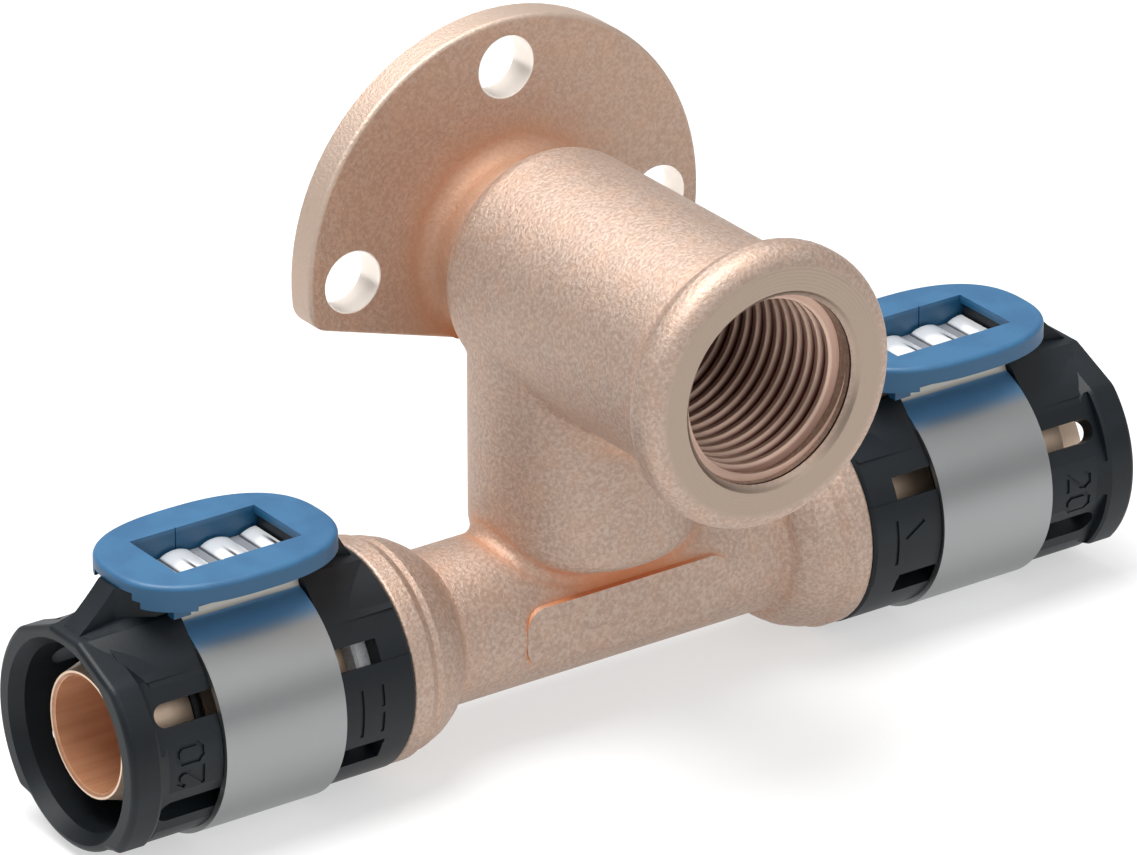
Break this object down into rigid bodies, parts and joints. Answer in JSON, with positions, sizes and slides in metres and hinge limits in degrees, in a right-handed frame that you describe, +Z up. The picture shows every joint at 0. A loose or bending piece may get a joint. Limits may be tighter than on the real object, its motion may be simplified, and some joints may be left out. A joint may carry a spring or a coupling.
{
  "type": "press fit wall fitting",
  "caption": "Wall plate tee fitting: a threaded tap socket on a plate, with a press socket for plastic pipe at each end of the run below it.",
  "frame": {"origin": "on the wall face of the plate, where the axis of the tap socket meets it", "axes": "-Y along the tap socket, out of the wall; +X along the run of pipe; +Z up"},
  "size_m": [0.132, 0.052, 0.0741],
  "materials": {
    "cast_bronze": "fine blasted cast surface, matt",
    "black_sleeve": "moulded, half gloss",
    "steel_band": "satin",
    "blue_indicator": "moulded, satin",
    "seal_rubber": "smooth",
    "grey_ring": "moulded"
  },
  "bodies": {
    "root": {"cast_body": "cast_bronze", "left_compression_sleeve": "black_sleeve", "left_steel_band": "steel_band", "left_press_indicator": "blue_indicator", "left_nipple_seal_inner": "seal_rubber", "left_nipple_seal_outer": "seal_rubber", "left_insulating_ring": "grey_ring", "right_compression_sleeve": "black_sleeve", "right_steel_band": "steel_band", "right_press_indicator": "blue_indicator", "right_nipple_seal_inner": "seal_rubber", "right_nipple_seal_outer": "seal_rubber", "right_insulating_ring": "grey_ring"}
  },
  "joints": []
}
